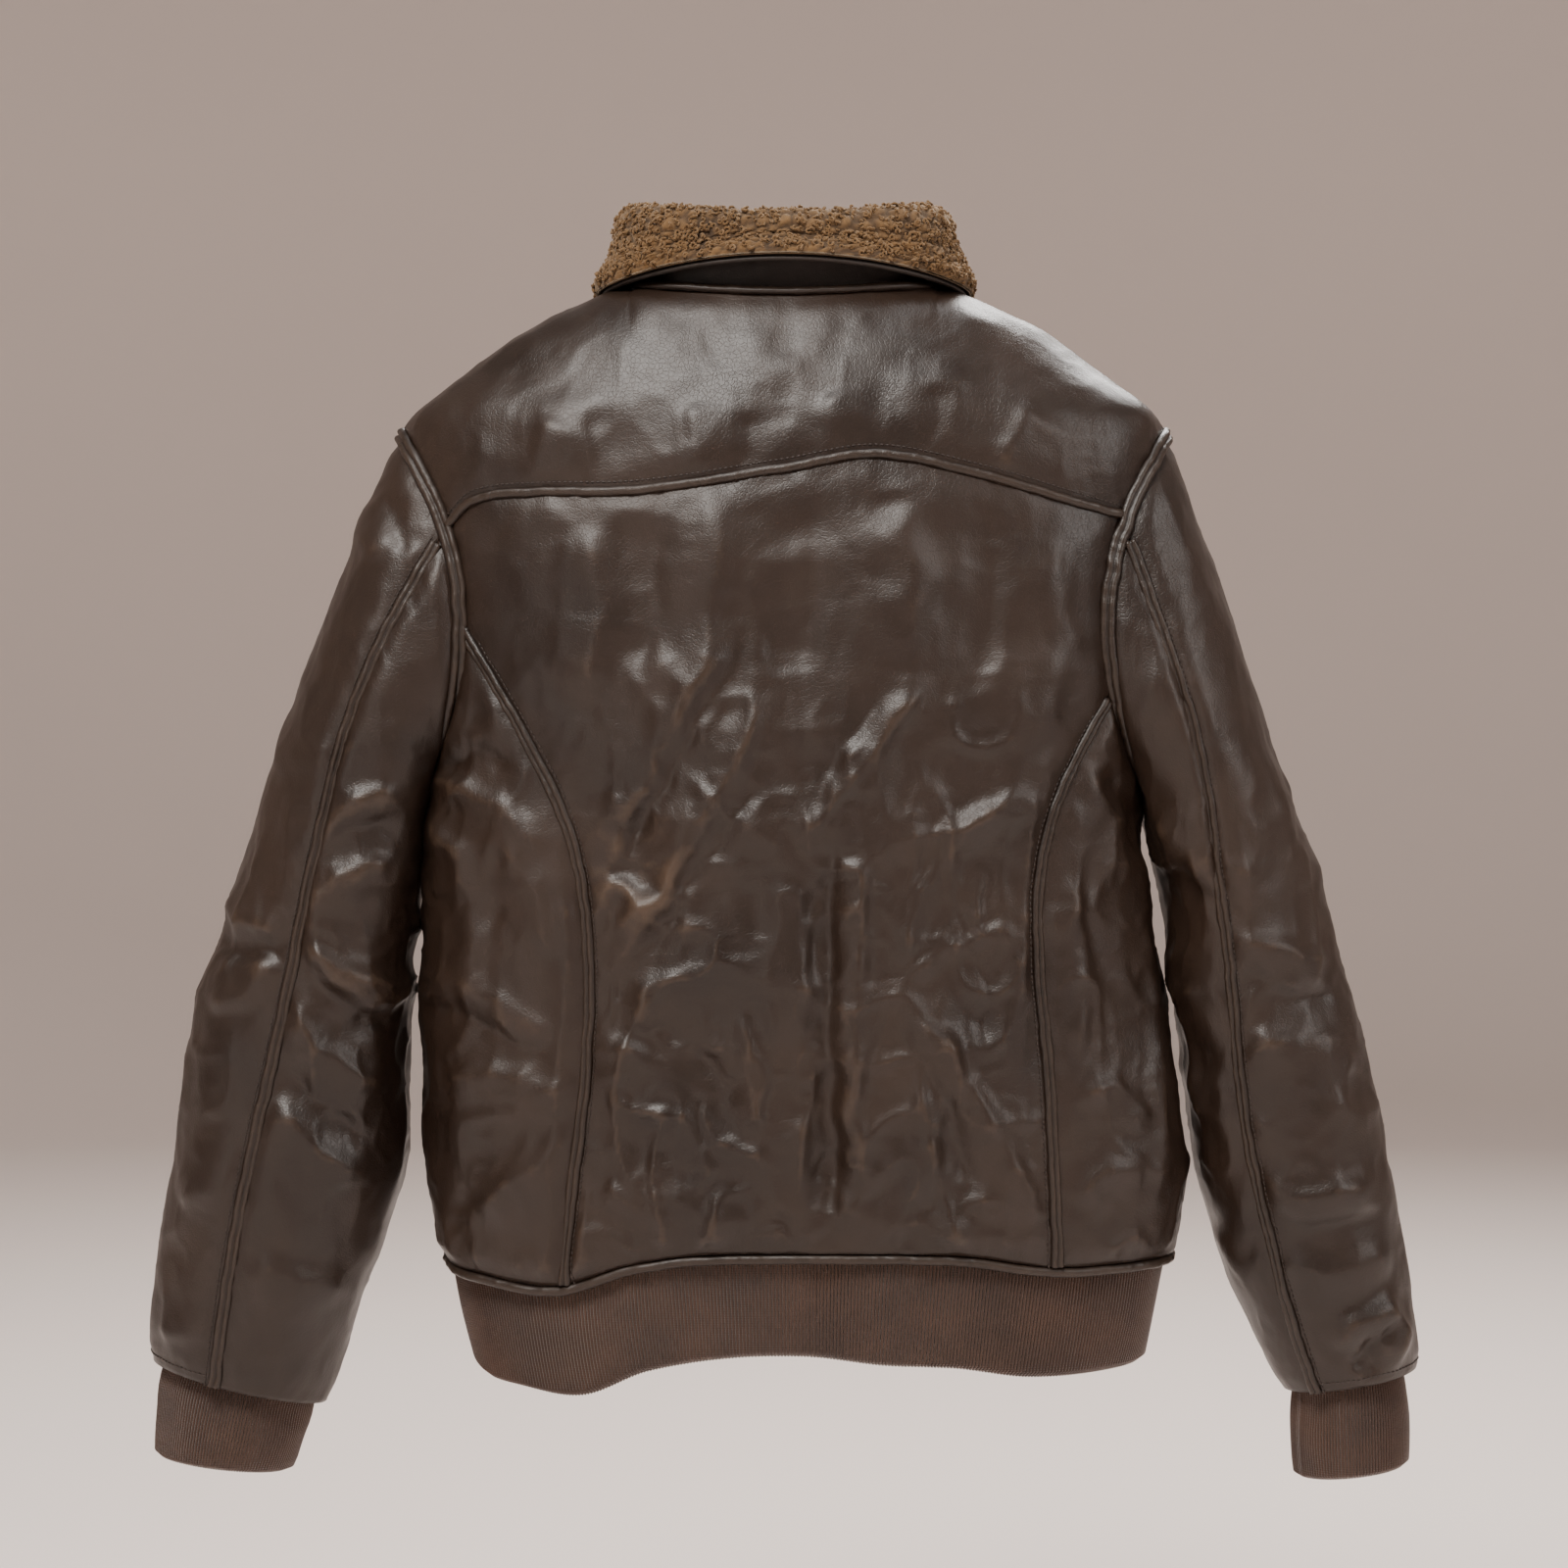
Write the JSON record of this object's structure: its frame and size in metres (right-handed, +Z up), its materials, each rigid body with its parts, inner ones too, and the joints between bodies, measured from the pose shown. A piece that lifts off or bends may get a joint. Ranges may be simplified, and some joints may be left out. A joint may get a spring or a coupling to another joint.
{
  "type": "leather riding jacket",
  "caption": "Padded leather riding jacket with a turned-down pile collar, back yoke, princess seams, two-piece sleeves, zipped front and knitted cuffs and waistband, stored as it hangs.",
  "frame": {"origin": "middle of the neck opening at the height of the shoulder seams' inner ends, where a hanger's neck stands", "axes": "+Z up along the hanging jacket, +Y out of its zipped front, so the back with the yoke faces -Y, +X towards the wearer's right sleeve"},
  "size_m": [0.8047, 0.225, 0.8028],
  "materials": {
    "leather": "dark brown, fine grain, soft sheen, rubbed lighter on the folds",
    "pile": "brown curly pile with a caramel tinge",
    "rib_knit": "dark brown ribbed wool knit",
    "lining": "smooth dark brown lining",
    "zip_tape": "woven dark brown tape",
    "label": "blank woven label",
    "brass": "aged brass"
  },
  "bodies": {
    "torso": {"back_yoke": "leather", "back_panel": "leather", "side_panel_left": "leather", "side_panel_right": "leather", "front_panel_left": "leather", "front_panel_right": "leather", "lining_back": "lining", "lining_front_left": "lining", "lining_front_right": "lining", "hem_piping": "leather", "waistband_rib": "rib_knit", "waist_tab_left": "leather", "waist_tab_right": "leather", "collar_stand": "leather", "collar_leaf": "leather", "collar_pile": "pile", "zip_tape_left": "zip_tape", "zip_teeth_left": "brass", "zip_top_stop_left": "brass", "zip_tape_right": "zip_tape", "zip_teeth_right": "brass", "zip_top_stop_right": "brass", "zip_box": "brass", "wind_flap": "leather", "pocket_left": "leather", "snap_stud_left": "brass", "pocket_right": "leather", "snap_stud_right": "brass", "hang_loop": "leather", "neck_label": "label"},
    "sleeve_left": {"top_sleeve_left": "leather", "under_sleeve_left": "leather", "sleeve_lining_left": "lining", "cuff_left": "rib_knit"},
    "sleeve_right": {"top_sleeve_right": "leather", "under_sleeve_right": "leather", "sleeve_lining_right": "lining", "cuff_right": "rib_knit"},
    "slider": {"zip_slider": "brass"},
    "puller": {"zip_puller": "brass"},
    "flap_left": {"pocket_flap_left": "leather", "snap_cap_left": "brass"},
    "flap_right": {"pocket_flap_right": "leather", "snap_cap_right": "brass"}
  },
  "joints": [
    {"name": "sleeve_left_lift", "type": "hinge", "parent": "torso", "child": "sleeve_left", "pos_m": [-0.24, 0, -0.086], "axis": [0, 1, 0], "range_deg": [0, 25]},
    {"name": "sleeve_right_lift", "type": "hinge", "parent": "torso", "child": "sleeve_right", "pos_m": [0.24, 0, -0.086], "axis": [0, -1, 0], "range_deg": [0, 25]},
    {"name": "zip_slide", "type": "slide", "parent": "torso", "child": "slider", "axis": [0, 0.0236, -0.9997], "range_m": [0, 0.5]},
    {"name": "puller_swing", "type": "hinge", "parent": "slider", "child": "puller", "pos_m": [0, 0.08253, -0.09445], "axis": [1, 0, 0], "range_deg": [0, 150]},
    {"name": "pocket_flap_left_lift", "type": "hinge", "parent": "torso", "child": "flap_left", "pos_m": [-0.12606, 0.08075, -0.4286], "axis": [0.9701, 0.2428, 0], "range_deg": [0, 80]},
    {"name": "pocket_flap_right_lift", "type": "hinge", "parent": "torso", "child": "flap_right", "pos_m": [0.12477, 0.08217, -0.4286], "axis": [0.9854, -0.1705, 0], "range_deg": [0, 80]}
  ]
}
